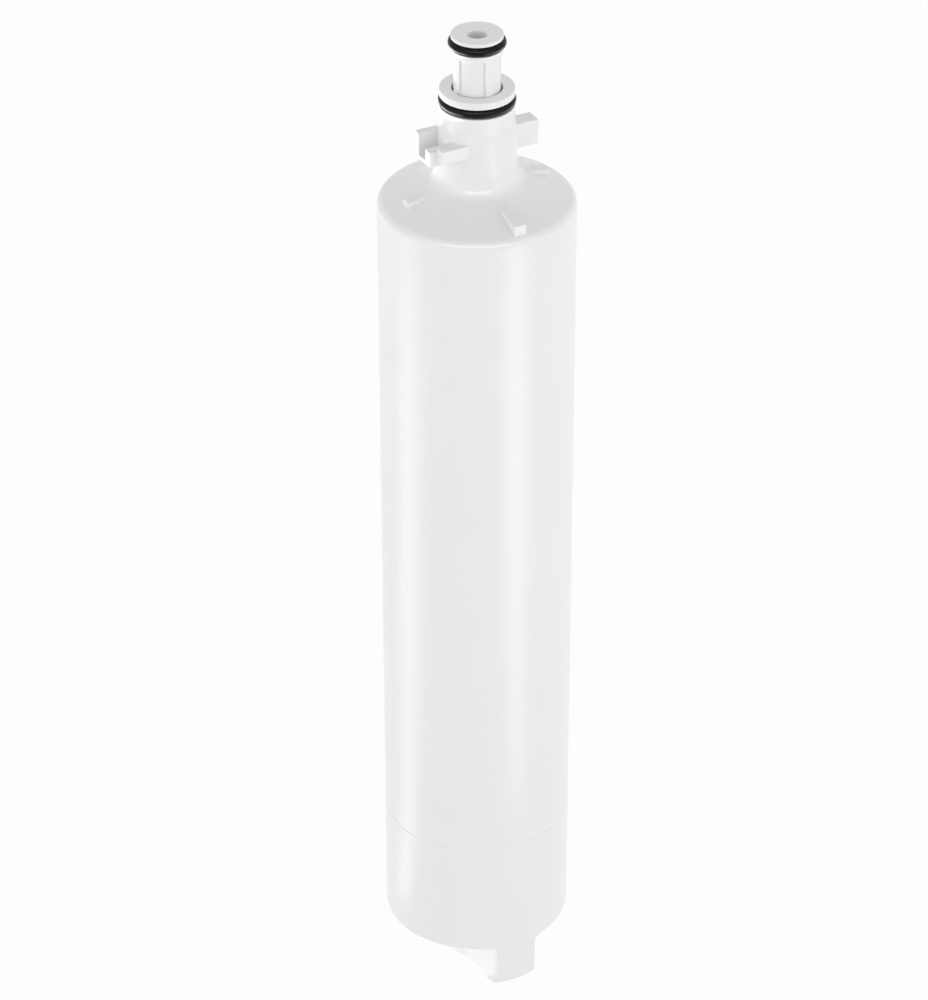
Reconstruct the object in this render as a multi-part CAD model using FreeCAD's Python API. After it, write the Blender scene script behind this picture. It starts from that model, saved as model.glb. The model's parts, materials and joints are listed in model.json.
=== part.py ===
import FreeCAD, Part
import math
import os

# Twist-in water filter cartridge. Millimetres, +Z up along the axis, neck on top.
# The origin is on the axis, half way up the neck's land, the first round wall that enters the filter head.
# The plain lug points along +X, and the hooked lug along -X with its step towards -Y.

# Canister and shoulder
BODY_R = 27.5
BODY_H = 204.9
WALL = 2.6
SHOULDER_FALL = 22.6
SHOULDER_ROUND = 2.6
SEAM_CHAMFER = 0.22

# Neck, from its end face down to the shoulder
NECK_LAND_R = 10.35
NECK_LAND_H = 2.1
NECK_EDGE = 0.3
UPPER_NECK_H = 5.15
NECK_STEP_H = 2.0
LOWER_NECK_R = 11.05
LOWER_NECK_H = 15.0
NECK_FILLET = 2.2
NECK_MOUTH_R = 6.97
NECK_MOUTH_H = 6.4
NECK_BORE_R = 8.4
NECK_BORE_STEP = 1.4

# Seal rings and their grooves
RING_SECTION = 2.65
NECK_RING_ID = 16.0
SPIGOT_RING_ID = 10.6
RING_SIDE_PLAY = 0.12
RING_SEAT_PLAY = 0.04

# Lugs of the bayonet, with heights above the foot of the neck
PLAIN_LUG_REACH = 17.6
PLAIN_LUG_W = 5.06
PLAIN_LUG_H = 7.3
PLAIN_LUG_LIFT = 6.9
HOOK_LIFT = 7.4
HOOK_RISE = 1.6
HOOK_BACK_Y = 5.0
HOOK_PLATE_REACH = 16.2
HOOK_PLATE_T = 2.5
HOOK_PLATE_H = 8.1
HOOK_FLOOR_T = 1.3
HOOK_SLOT_W = 4.8
HOOK_LEG_REACH = 17.0
HOOK_LEG_T = 3.25
HOOK_LEG_H = 4.4
HOOK_STEP_OUT = 3.05
HOOK_STEP_SETBACK = 2.0
HOOK_STEP_RISE = 1.15
HOOK_STEP_UNDERCUT = 0.6
HOOK_STEP_LEAD = 1.1
LUG_EDGE = 0.25

# Wedge ribs on the shoulder
RIB_W = 3.6
RIB_START_R = 15.1
RIB_FALL = 7.5
LONG_RIB_END_R = 25.7
SHORT_RIB_END_R = 21.8

# Bottom cap and its twist grip
CAP_H = 38.2
CAP_EDGE_ROUND = 1.0
TONGUE_H = 8.0
TONGUE_T = 1.5
TONGUE_ROOT_H = 4.0
GRIP_H = 15.9
GRIP_END_W = 13.1
GRIP_CREASE_W = 17.4
GRIP_CREASE_Y = 10.7
GRIP_HUB_R = 12.0
GRIP_END_INSET = 0.12
GRIP_CORNER_ROUND = 5.2
GRIP_EDGE_ROUND = 2.2
GRIP_ROOT_FILLET = 1.5
GRIP_WALL = 2.5

# Outlet stem: spigot above the neck and shaft through it
SPIGOT_REACH = 15.9
SPIGOT_R = 7.16
SPIGOT_RIM_H = 1.05
SPIGOT_EDGE = 0.2
SPIGOT_COLLAR_H = 1.2
SPIGOT_TAPER_H = 1.4
SHAFT_R = 6.47
OUTLET_R = 2.65
OUTLET_LIP = 0.9
OUTLET_H = 13.0
STEM_BORE_R = 4.0
STEM_BORE_TAPER = 2.5
FLUTE_COUNT = 6
FLUTE_W = 0.8
FLUTE_DEPTH = 0.5
FLUTE_RUN_IN = 0.75
FLUTE_LENGTH = 21.5
FLUTE_TURN = 19.7
GUIDE_COUNT = 4
GUIDE_W = 2.0
GUIDE_PLAY = 0.05
GUIDE_LEAD = 0.9
GUIDE_RISE = 0.9
GUIDE_LENGTH = 11.0
GUIDE_TURN = 3.0

# Upper end cap: socket for the stem, flange and skirt on the filter block, fins under the shoulder
SOCKET_H = 5.0
SOCKET_T = 1.8
SOCKET_PLAY = 0.05
SOCKET_FLOOR_T = 1.0
STANDOFF_COUNT = 6
STANDOFF_T = 2.0
STANDOFF_H = 2.5
STANDOFF_PLAY = 0.05
FLANGE_T = 2.5
SKIRT_T = 1.05
SKIRT_H = 7.0
SKIRT_PLAY = 0.1

# Filter element
FLOW_GAP = 1.5
CORE_R = 6.5
CORE_FLEECE_T = 0.6
FLEECE_T = 1.2
NET_T = 0.7
WRAP_END_PLAY = 0.15
BOND_T = 0.8
BOSS_H = 5.0
BOSS_PLAY = 0.15
NET_COLUMNS = 8
NET_ROWS = 7
NET_STRAND = 2.4
FOOT_R = 2.5
FOOT_H = 5.0
FOOT_INSET = 2.55
FOOT_ANGLE = 35.0

# Shares and allowances used in building the solids
ROUND_SHARE = 0.45
CUT_PAST = 1.0
SAME = 1e-4

V = FreeCAD.Vector
UP = V(0, 0, 1)
ORIGIN = V(0, 0, 0)

# Heights along the axis, worked down from the neck's end face
neck_end_z = NECK_LAND_H / 2
land_low_z = neck_end_z - NECK_LAND_H
groove_w = RING_SECTION + 2 * RING_SIDE_PLAY
upper_neck_z = land_low_z - groove_w
step_top_z = upper_neck_z - UPPER_NECK_H
step_low_z = step_top_z - NECK_STEP_H
neck_foot_z = step_low_z - LOWER_NECK_H
fall = math.tan(math.radians(SHOULDER_FALL))
shoulder_edge_z = neck_foot_z - (BODY_R - LOWER_NECK_R) * fall
seam_z = shoulder_edge_z - BODY_H
cap_low_z = seam_z - CAP_H
cap_floor_z = cap_low_z + WALL
grip_low_z = cap_low_z - GRIP_H
spigot_top_z = neck_end_z + SPIGOT_REACH

# Radii that follow from the fits
inner_r = BODY_R - WALL
tongue_r = inner_r - TONGUE_T
neck_groove_r = NECK_RING_ID / 2 - RING_SEAT_PLAY
spigot_groove_r = SPIGOT_RING_ID / 2 - RING_SEAT_PLAY
net_r = tongue_r - FLOW_GAP
fleece_r = net_r - NET_T
block_r = fleece_r - FLEECE_T
skirt_in_r = net_r + SKIRT_PLAY
skirt_out_r = skirt_in_r + SKIRT_T
core_fleece_r = CORE_R - CORE_FLEECE_T
boss_r = core_fleece_r - BOSS_PLAY
foot_circle_r = skirt_out_r - FOOT_R - FOOT_INSET


def shoulder_z(r):
    """Height of the shoulder's outer cone at radius r."""
    return neck_foot_z - (r - LOWER_NECK_R) * fall


def ceiling_z(r):
    """Height of the shoulder's inner cone, one wall below the outer one."""
    return shoulder_z(r) - WALL / math.cos(math.radians(SHOULDER_FALL))


# Heights of the filter element, between the shoulder's ceiling and the cap's floor
flange_top_z = ceiling_z(inner_r) - STANDOFF_H
flange_low_z = flange_top_z - FLANGE_T
socket_floor_z = flange_low_z + SOCKET_FLOOR_T
block_top_z = flange_low_z - BOND_T
end_disc_low_z = cap_floor_z + FOOT_H
end_disc_top_z = end_disc_low_z + FLANGE_T
block_low_z = end_disc_top_z + BOND_T


def in_section(r, z):
    return V(r, 0, z)


def in_plan(x, y):
    return V(x, y, 0)


def round_corner(before, corner, after, radius):
    """Start, middle and end of the arc that rounds a corner, no longer than its sides leave room for."""
    to_before = before - corner
    to_after = after - corner
    half = to_before.getAngle(to_after) / 2
    room = ROUND_SHARE * min(to_before.Length, to_after.Length)
    setback = min(radius / math.tan(half), room)
    radius = setback * math.tan(half)
    to_before.normalize()
    to_after.normalize()
    inward = to_before + to_after
    inward.normalize()
    middle = corner + inward * (radius / math.sin(half) - radius)
    return corner + to_before * setback, middle, corner + to_after * setback


def rounded_face(corners, place):
    """Flat face with the given corners (a, b) or (a, b, round), set in space by place."""
    points = [place(c[0], c[1]) for c in corners]
    count = len(corners)
    edges = []
    starts = []
    ends = []
    for i, c in enumerate(corners):
        if len(c) == 2:
            starts.append(points[i])
            ends.append(points[i])
            continue
        start, middle, end = round_corner(points[i - 1], points[i], points[(i + 1) % count], c[2])
        edges.append(Part.Arc(start, middle, end).toShape())
        starts.append(start)
        ends.append(end)
    for i in range(count):
        edges.append(Part.makeLine(ends[i], starts[(i + 1) % count]))
    return Part.Face(Part.Wire(Part.__sortEdges__(edges)))


def turned(corners):
    """Solid of revolution from a section of (r, z) corners."""
    return rounded_face(corners, in_section).revolve(ORIGIN, UP, 360)


def box(x0, x1, y0, y1, z0, z1):
    return Part.makeBox(x1 - x0, y1 - y0, z1 - z0, V(x0, y0, z0))


def rod(r, z0, z1):
    return Part.makeCylinder(r, z1 - z0, V(0, 0, z0))


def tube(r_out, r_in, z0, z1):
    return rod(r_out, z0, z1).cut(rod(r_in, z0, z1))


def plate(corners, thickness):
    """Radial plate along +X with the section corners given, centred on the XZ plane."""
    face = rounded_face(corners, in_section)
    face.translate(V(0, -thickness / 2, 0))
    return face.extrude(V(0, thickness, 0))


def spun(shape, angle):
    turned_copy = shape.copy()
    turned_copy.rotate(ORIGIN, UP, angle)
    return turned_copy


def ring_of(shape, count, first_angle):
    return [spun(shape, first_angle + 360 * i / count) for i in range(count)]


def canister_shell():
    """Canister, shoulder and neck as one turned wall, open at the seam and at the mouth."""
    mouth_low_z = neck_end_z - NECK_MOUTH_H
    return turned([
        (inner_r, seam_z),
        (BODY_R - SEAM_CHAMFER, seam_z),
        (BODY_R, seam_z + SEAM_CHAMFER),
        (BODY_R, shoulder_edge_z, SHOULDER_ROUND),
        (LOWER_NECK_R, neck_foot_z, NECK_FILLET),
        (LOWER_NECK_R, step_low_z),
        (NECK_LAND_R, step_top_z),
        (NECK_LAND_R, upper_neck_z),
        (neck_groove_r, upper_neck_z),
        (neck_groove_r, land_low_z),
        (NECK_LAND_R, land_low_z),
        (NECK_LAND_R, neck_end_z - NECK_EDGE),
        (NECK_LAND_R - NECK_EDGE, neck_end_z),
        (NECK_MOUTH_R + NECK_EDGE, neck_end_z),
        (NECK_MOUTH_R, neck_end_z - NECK_EDGE),
        (NECK_MOUTH_R, mouth_low_z),
        (NECK_BORE_R, mouth_low_z - NECK_BORE_STEP),
        (NECK_BORE_R, ceiling_z(NECK_BORE_R)),
        (inner_r, ceiling_z(inner_r)),
    ])


def plain_lug():
    low_z = neck_foot_z + PLAIN_LUG_LIFT
    half_w = PLAIN_LUG_W / 2
    block = box(0, PLAIN_LUG_REACH, -half_w, half_w, low_z, low_z + PLAIN_LUG_H)
    return block.makeChamfer(LUG_EDGE, block.Edges)


def side_block(corners, reach):
    """Block from the axis out along -X, with the (y, z) corners of its side given."""
    outline = [V(0, y, z) for y, z in corners]
    return Part.Face(Part.makePolygon(outline + outline[:1])).extrude(V(-reach, 0, 0))


def hooked_lug():
    """Tall plate, thin floor and short leg round a slot, with a step that runs into the neck's front.

    The underside climbs from the plate's back to the leg's front, and on under the step, as the twist's ramp.
    """
    plate_front_y = HOOK_BACK_Y - HOOK_PLATE_T
    leg_back_y = plate_front_y - HOOK_SLOT_W
    leg_front_y = leg_back_y - HOOK_LEG_T
    step_front_y = leg_front_y - HOOK_STEP_OUT
    low_z = neck_foot_z + HOOK_LIFT
    plate_top_z = low_z + HOOK_PLATE_H
    leg_low_z = low_z + HOOK_RISE
    leg_top_z = leg_low_z + HOOK_LEG_H
    climb = HOOK_RISE / (HOOK_BACK_Y - leg_front_y)
    floor_top_z = low_z + HOOK_FLOOR_T
    hook = side_block([
        (HOOK_BACK_Y, low_z),
        (HOOK_BACK_Y, plate_top_z),
        (plate_front_y, plate_top_z),
        (plate_front_y, floor_top_z + HOOK_PLATE_T * climb),
        (leg_back_y, floor_top_z + (HOOK_PLATE_T + HOOK_SLOT_W) * climb),
        (leg_back_y, leg_top_z),
        (leg_front_y, leg_top_z),
        (leg_front_y, leg_low_z),
    ], HOOK_LEG_REACH)
    plan = rounded_face([
        (0, HOOK_BACK_Y),
        (-HOOK_PLATE_REACH, HOOK_BACK_Y),
        (-HOOK_LEG_REACH, leg_back_y),
        (-HOOK_LEG_REACH, leg_front_y),
        (0, leg_front_y),
    ], in_plan)
    plan.translate(V(0, 0, low_z))
    hook = hook.common(plan.extrude(V(0, 0, HOOK_PLATE_H)))
    step = side_block([
        (leg_front_y, leg_low_z + HOOK_STEP_UNDERCUT),
        (leg_front_y, leg_top_z + HOOK_STEP_RISE),
        (step_front_y, leg_top_z + HOOK_STEP_RISE),
        (step_front_y, leg_low_z + HOOK_STEP_UNDERCUT + HOOK_STEP_LEAD),
    ], HOOK_LEG_REACH - HOOK_STEP_SETBACK)
    return hook.fuse(step).removeSplitter()


def lugs():
    """Both lugs, ending inside the neck's wall."""
    root_r = (NECK_BORE_R + LOWER_NECK_R) / 2
    root = rod(root_r, neck_foot_z, neck_end_z)
    return [plain_lug().cut(root), hooked_lug().cut(root)]


def shoulder_rib(end_r):
    """Wedge whose top falls less steeply than the cone it stands on."""
    start_z = shoulder_z(RIB_START_R)
    end_z = start_z - (end_r - RIB_START_R) * math.tan(math.radians(RIB_FALL))
    sunk = WALL / 2
    return plate([
        (RIB_START_R, start_z),
        (end_r, end_z),
        (end_r, shoulder_z(end_r) - sunk),
        (RIB_START_R, start_z - sunk),
    ], RIB_W)


def make_housing():
    ribs = ring_of(shoulder_rib(SHORT_RIB_END_R), 2, 0)
    ribs += ring_of(shoulder_rib(LONG_RIB_END_R), 2, 90)
    return canister_shell().fuse(lugs() + ribs).removeSplitter()


def cap_cup():
    """Round cup with a weld tongue that stands inside the canister."""
    root_z = seam_z - TONGUE_ROOT_H
    return turned([
        (0, cap_low_z),
        (BODY_R, cap_low_z, CAP_EDGE_ROUND),
        (BODY_R, seam_z - SEAM_CHAMFER),
        (BODY_R - SEAM_CHAMFER, seam_z),
        (inner_r, seam_z),
        (inner_r, seam_z + TONGUE_H),
        (tongue_r, seam_z + TONGUE_H),
        (tongue_r, root_z),
        (inner_r, root_z - 2 * TONGUE_T),
        (inner_r, cap_floor_z),
        (0, cap_floor_z),
    ])


def grip_plan(inset):
    """Plan of the grip, narrow at its ends, flaring at a crease to a round hub, moved in by inset."""
    end_x = GRIP_END_W / 2 - inset
    crease_x = GRIP_CREASE_W / 2 - inset
    hub_r = GRIP_HUB_R - inset
    crease_far = math.hypot(crease_x, GRIP_CREASE_Y)
    lean = math.atan2(GRIP_CREASE_Y, crease_x) - math.acos(min(1, hub_r / crease_far))
    hub_x = hub_r / math.cos(lean)
    return rounded_face([
        (hub_x, 0, hub_r),
        (crease_x, GRIP_CREASE_Y),
        (end_x, BODY_R),
        (-end_x, BODY_R),
        (-crease_x, GRIP_CREASE_Y),
        (-hub_x, 0, hub_r),
        (-crease_x, -GRIP_CREASE_Y),
        (-end_x, -BODY_R),
        (end_x, -BODY_R),
        (crease_x, -GRIP_CREASE_Y),
    ], in_plan)


def grip_bar(inset, low_z, top_z):
    """Straight prism of the grip's plan between two heights."""
    plan = grip_plan(inset)
    plan.translate(V(0, 0, low_z))
    return plan.extrude(V(0, 0, top_z - low_z))


def is_grip_side(face):
    """True for the grip's upright side walls, and not for its round ends."""
    surface = face.Surface
    if surface.TypeId == "Part::GeomPlane":
        return abs(surface.Axis.z) < SAME
    return surface.TypeId == "Part::GeomCylinder" and surface.Radius < BODY_R - WALL


def grip_limit(inset):
    """Round body just inside the canister's outline that the grip's ends are cut to, moved in by inset."""
    low_z = grip_low_z + inset
    end_r = BODY_R - GRIP_END_INSET - inset
    return turned([
        (0, low_z),
        (end_r, low_z, GRIP_CORNER_ROUND - inset),
        (end_r, cap_floor_z),
        (0, cap_floor_z),
    ])


def rounded_grip():
    """Grip cut off round in line with the canister, its sides rounded into its underside and its ends."""
    bar = grip_bar(0, grip_low_z, cap_floor_z).common(grip_limit(0))
    edges = []
    for edge in bar.Edges:
        on_top = all(v.Z > cap_low_z for v in edge.Vertexes)
        sides = [is_grip_side(face) for face in bar.ancestorsOfType(edge, Part.Face)]
        if sides.count(True) == 1 and not on_top:
            edges.append(edge)
    return bar.makeFillet(GRIP_EDGE_ROUND, edges)


def grip_root_edges(cap):
    """Edges where the grip's sides meet the flat underside of the cap."""
    edges = []
    for edge in cap.Edges:
        level = all(abs(v.Z - cap_low_z) < SAME for v in edge.Vertexes)
        sides = [is_grip_side(face) for face in cap.ancestorsOfType(edge, Part.Face)]
        if level and sides.count(True) == 1:
            edges.append(edge)
    return edges


def make_bottom_cap():
    cap = cap_cup().fuse(rounded_grip()).removeSplitter()
    cap = cap.makeFillet(GRIP_ROOT_FILLET, grip_root_edges(cap))
    pocket = grip_bar(GRIP_WALL, grip_low_z + GRIP_WALL, cap_floor_z)
    return cap.cut(pocket.common(grip_limit(GRIP_WALL)))


def stem_core():
    """Spigot and shaft as one turned piece with the outlet through its axis."""
    rim_low_z = spigot_top_z - SPIGOT_RIM_H
    collar_top_z = rim_low_z - groove_w
    collar_low_z = collar_top_z - SPIGOT_COLLAR_H
    outlet_low_z = spigot_top_z - OUTLET_H
    return turned([
        (OUTLET_R, spigot_top_z, OUTLET_LIP),
        (SPIGOT_R - SPIGOT_EDGE, spigot_top_z),
        (SPIGOT_R, spigot_top_z - SPIGOT_EDGE),
        (SPIGOT_R, rim_low_z),
        (spigot_groove_r, rim_low_z),
        (spigot_groove_r, collar_top_z),
        (SPIGOT_R, collar_top_z),
        (SPIGOT_R, collar_low_z),
        (SHAFT_R, collar_low_z - SPIGOT_TAPER_H),
        (SHAFT_R, socket_floor_z),
        (STEM_BORE_R, socket_floor_z),
        (STEM_BORE_R, outlet_low_z - STEM_BORE_TAPER),
        (OUTLET_R, outlet_low_z),
    ])


def shaft_flute():
    """Narrow groove down the shaft, from the foot of the collar's taper into the neck."""
    taper_low_z = spigot_top_z - SPIGOT_RIM_H - groove_w - SPIGOT_COLLAR_H - SPIGOT_TAPER_H
    top_z = taper_low_z + FLUTE_RUN_IN
    half_w = FLUTE_W / 2
    return box(SHAFT_R - FLUTE_DEPTH, SHAFT_R + CUT_PAST, -half_w, half_w, top_z - FLUTE_LENGTH, top_z)


def shaft_guide():
    """Low rib that centres the shaft in the neck's mouth, with a sloping lead at its top."""
    face_r = NECK_MOUTH_R - GUIDE_PLAY
    top_z = neck_end_z + GUIDE_RISE
    low_z = top_z - GUIDE_LENGTH
    root_r = SHAFT_R - FLUTE_DEPTH / 2
    rib = plate([
        (root_r, top_z),
        (SHAFT_R, top_z),
        (face_r, top_z - GUIDE_LEAD),
        (face_r, low_z),
        (root_r, low_z),
    ], GUIDE_W)
    return rib.common(rod(face_r, low_z, top_z))


def make_outlet_stem():
    guides = ring_of(shaft_guide(), GUIDE_COUNT, GUIDE_TURN)
    fluted = stem_core().cut(ring_of(shaft_flute(), FLUTE_COUNT, FLUTE_TURN))
    return fluted.fuse(guides).removeSplitter()


def upper_dish():
    """Socket for the stem's foot, flange over the block's end, skirt round its wraps, boss in its core."""
    socket_r = SHAFT_R + SOCKET_PLAY
    socket_top_z = flange_top_z + SOCKET_H
    skirt_low_z = flange_top_z - SKIRT_H
    boss_low_z = flange_low_z - BOSS_H
    return turned([
        (STEM_BORE_R, socket_floor_z),
        (socket_r, socket_floor_z),
        (socket_r, socket_top_z),
        (socket_r + SOCKET_T, socket_top_z),
        (socket_r + SOCKET_T, flange_top_z),
        (skirt_out_r, flange_top_z),
        (skirt_out_r, skirt_low_z),
        (skirt_in_r, skirt_low_z),
        (skirt_in_r, flange_low_z),
        (boss_r, flange_low_z),
        (boss_r, boss_low_z),
        (STEM_BORE_R, boss_low_z),
    ])


def standoff():
    """Fin on the flange that keeps a water way open under the shoulder."""
    root_r = SHAFT_R + SOCKET_PLAY + SOCKET_T / 2
    inner_top_z = flange_top_z + SOCKET_H
    foot_r = NECK_BORE_R + STANDOFF_PLAY
    tip_r = skirt_in_r
    return plate([
        (root_r, flange_top_z - FLANGE_T / 2),
        (tip_r, flange_top_z - FLANGE_T / 2),
        (tip_r, ceiling_z(tip_r) - STANDOFF_PLAY),
        (foot_r, ceiling_z(foot_r) - STANDOFF_PLAY),
        (root_r, inner_top_z),
    ], STANDOFF_T)


def make_upper_end_cap():
    fins = ring_of(standoff(), STANDOFF_COUNT, 0)
    return upper_dish().fuse(fins).removeSplitter()


def seal_ring(inner_d, groove_top_z):
    """Round rubber ring in the middle of its groove."""
    section_r = RING_SECTION / 2
    centre = V(0, 0, groove_top_z - groove_w / 2)
    return Part.makeTorus(inner_d / 2 + section_r, section_r, centre, UP)


def make_neck_o_ring():
    return seal_ring(NECK_RING_ID, land_low_z)


def make_spigot_o_ring():
    return seal_ring(SPIGOT_RING_ID, spigot_top_z - SPIGOT_RIM_H)


def make_carbon_block():
    return tube(block_r, CORE_R, block_low_z, block_top_z)


def make_core_fleece():
    return tube(CORE_R, core_fleece_r, block_low_z, block_top_z)


def make_prefilter_fleece():
    low_z = end_disc_top_z + WRAP_END_PLAY
    return tube(fleece_r, block_r, low_z, flange_low_z - WRAP_END_PLAY)


def make_retaining_net():
    """Sleeve of crossing strands, with staggered rows of diamond gaps."""
    low_z = end_disc_top_z + WRAP_END_PLAY
    top_z = flange_low_z - WRAP_END_PLAY
    row_h = (top_z - low_z - NET_STRAND) / NET_ROWS
    column_w = 2 * math.pi * net_r / NET_COLUMNS
    half_w = (column_w - NET_STRAND) / 2
    half_h = (row_h - NET_STRAND) / 2
    diamond = Part.Wire(Part.makePolygon([
        V(0, half_w, 0), V(0, 0, half_h), V(0, -half_w, 0), V(0, 0, -half_h), V(0, half_w, 0)]))
    gap = Part.Face(diamond).extrude(V(net_r + CUT_PAST, 0, 0))
    gaps = []
    for row in range(NET_ROWS):
        level = gap.copy()
        level.translate(V(0, 0, low_z + NET_STRAND / 2 + (row + 0.5) * row_h))
        gaps += ring_of(level, NET_COLUMNS, row * 180 / NET_COLUMNS)
    return tube(net_r, fleece_r, low_z, top_z).cut(gaps)


def bond_ring(low_z):
    return tube(block_r, CORE_R, low_z, low_z + BOND_T)


def make_upper_bond_ring():
    return bond_ring(block_top_z)


def make_lower_bond_ring():
    return bond_ring(end_disc_top_z)


def make_lower_end_cap():
    """Shallow dish that closes the core, on feet that stand on the bottom cap's floor."""
    dish = turned([
        (0, end_disc_low_z),
        (skirt_out_r, end_disc_low_z),
        (skirt_out_r, end_disc_low_z + SKIRT_H),
        (skirt_in_r, end_disc_low_z + SKIRT_H),
        (skirt_in_r, end_disc_top_z),
        (boss_r, end_disc_top_z),
        (boss_r, end_disc_top_z + BOSS_H),
        (0, end_disc_top_z + BOSS_H),
    ])
    foot = rod(FOOT_R, cap_floor_z, end_disc_low_z + FLANGE_T / 2)
    foot.translate(V(foot_circle_r, 0, 0))
    feet = [spun(foot, side + lean) for side in (0, 180) for lean in (-FOOT_ANGLE, FOOT_ANGLE)]
    return dish.fuse(feet).removeSplitter()


PIECES = {
    "housing": make_housing,
    "bottom_cap": make_bottom_cap,
    "outlet_stem": make_outlet_stem,
    "neck_o_ring": make_neck_o_ring,
    "spigot_o_ring": make_spigot_o_ring,
    "carbon_block": make_carbon_block,
    "core_fleece": make_core_fleece,
    "prefilter_fleece": make_prefilter_fleece,
    "retaining_net": make_retaining_net,
    "upper_bond_ring": make_upper_bond_ring,
    "lower_bond_ring": make_lower_bond_ring,
    "upper_end_cap": make_upper_end_cap,
    "lower_end_cap": make_lower_end_cap,
}

os.makedirs("parts", exist_ok=True)
for name, make in PIECES.items():
    shape = make()
    print(name, "valid", shape.isValid(), "solids", len(shape.Solids), "volume", round(shape.Volume, 1))
    shape.exportStep("parts/" + name + ".step")
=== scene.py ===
import json
import math

import bmesh
import bpy
import numpy as np
from mathutils import Euler, Matrix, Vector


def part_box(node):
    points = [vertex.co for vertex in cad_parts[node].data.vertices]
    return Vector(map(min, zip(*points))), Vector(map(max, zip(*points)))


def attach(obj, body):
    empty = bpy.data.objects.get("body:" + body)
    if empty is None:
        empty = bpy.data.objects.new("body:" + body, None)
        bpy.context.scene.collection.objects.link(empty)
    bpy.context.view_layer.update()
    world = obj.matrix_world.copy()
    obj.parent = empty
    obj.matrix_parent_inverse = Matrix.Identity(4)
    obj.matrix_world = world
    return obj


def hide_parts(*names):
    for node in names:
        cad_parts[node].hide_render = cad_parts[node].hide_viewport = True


# Looks of a twist-in water filter cartridge. Lengths are in millimetres until a mesh is written in
# metres, apart from those of the floor and the lamps, which are in metres.
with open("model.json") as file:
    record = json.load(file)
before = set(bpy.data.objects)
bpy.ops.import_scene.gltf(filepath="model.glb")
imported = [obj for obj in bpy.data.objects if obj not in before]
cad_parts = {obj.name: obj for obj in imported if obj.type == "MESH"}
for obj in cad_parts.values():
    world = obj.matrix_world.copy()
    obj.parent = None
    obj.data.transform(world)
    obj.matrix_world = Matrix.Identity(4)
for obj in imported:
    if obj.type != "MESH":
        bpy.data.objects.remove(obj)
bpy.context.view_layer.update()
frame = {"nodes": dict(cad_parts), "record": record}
MM = 0.001


def edges_of(node):
    """Lowest and highest corner of a solid of the frame, in millimetres."""
    low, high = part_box(node)
    return np.array(low) / MM, np.array(high) / MM


# Levels along the axis, read from the frame
housing_low, housing_high = edges_of("housing")
cap_low, _ = edges_of("bottom_cap")
stem_low, stem_high = edges_of("outlet_stem")
SEAM_Z = housing_low[2]
NECK_END_Z = housing_high[2]
GRIP_LOW_Z = cap_low[2]
SPIGOT_TOP_Z = stem_high[2]
STEM_FOOT_Z = stem_low[2]
BODY_R = housing_high[0]

# Canister, shoulder and neck
WALL = 2.6
INNER_R = BODY_R - WALL
SEAM_CHAMFER = 0.22
SEAM_ROUND = 0.1
SHOULDER_FALL = math.tan(math.radians(22.6))
SHOULDER_ROUND = 2.6
NECK_LAND_R = 10.35
NECK_LAND_H = 2.1
NECK_EDGE = 0.3
GROOVE_W = 2.89
NECK_GROOVE_R = 7.96
UPPER_NECK_H = 5.15
NECK_STEP_H = 2.0
LOWER_NECK_R = 11.05
LOWER_NECK_H = 15.0
NECK_FILLET = 4.4  # fuller than the solid's 2.2, as in the photograph
NECK_MOUTH_R = 6.97
NECK_MOUTH_H = 6.4
NECK_BORE_R = 8.4
NECK_BORE_STEP = 1.4
CORNER_ROUND = 0.15
LAND_LOW_Z = NECK_END_Z - NECK_LAND_H
UPPER_NECK_Z = LAND_LOW_Z - GROOVE_W
STEP_TOP_Z = UPPER_NECK_Z - UPPER_NECK_H
STEP_LOW_Z = STEP_TOP_Z - NECK_STEP_H
NECK_FOOT_Z = STEP_LOW_Z - LOWER_NECK_H
SHOULDER_EDGE_Z = NECK_FOOT_Z - (BODY_R - LOWER_NECK_R) * SHOULDER_FALL

# Lugs and ribs, with heights above the foot of the neck
PLAIN_LUG_REACH = 17.6
PLAIN_LUG_W = 5.06
PLAIN_LUG_H = 7.3
PLAIN_LUG_LIFT = 6.9
HOOK_LIFT = 7.4
HOOK_RISE = 1.6
HOOK_BACK_Y = 5.0
HOOK_PLATE_REACH = 16.2
HOOK_PLATE_T = 2.5
HOOK_PLATE_H = 8.1
HOOK_FLOOR_T = 1.3
HOOK_SLOT_W = 4.8
HOOK_LEG_REACH = 17.0
HOOK_LEG_T = 3.25
HOOK_LEG_H = 4.4
HOOK_STEP_OUT = 3.05
HOOK_STEP_SETBACK = 2.0
HOOK_STEP_RISE = 1.15
HOOK_STEP_UNDERCUT = 0.6
HOOK_STEP_LEAD = 1.1
HOOK_STEP_ROOT_X = 5.26
LUG_ROOT_R = (NECK_BORE_R + LOWER_NECK_R) / 2
RIB_W = 3.6
RIB_START_R = 15.1
RIB_FALL = math.tan(math.radians(7.5))
LONG_RIB_END_R = 25.7
SHORT_RIB_END_R = 21.8
RIB_TAIL = 3.0
LUG_ROUND = 0.2

# Bottom cap and grip
CAP_H = 38.2
CAP_LOW_Z = SEAM_Z - CAP_H
CAP_FLOOR_Z = CAP_LOW_Z + WALL
CAP_EDGE_ROUND = 1.0
TONGUE_H = 8.0
TONGUE_INSET = 1.5
TONGUE_R = INNER_R - TONGUE_INSET
TONGUE_ROOT_H = 4.0
TONGUE_FLARE_H = 3.0
GRIP_END_X = 6.55
GRIP_CREASE_X = 8.7
GRIP_CREASE_Y = 10.7
GRIP_HUB_R = 12.0
GRIP_END_INSET = 0.12
GRIP_CORNER_ROUND = 5.2
GRIP_EDGE_ROUND = 2.2
GRIP_ROOT_FILLET = 1.5
GRIP_WALL = 2.5
GRIP_END_BLEND = 2.2
GRIP_CUP_BLEND = 1.2
GRIP_FLANK_TURN = 1.2  # greatest angle past the hub, in radians, on its flank's line

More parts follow.
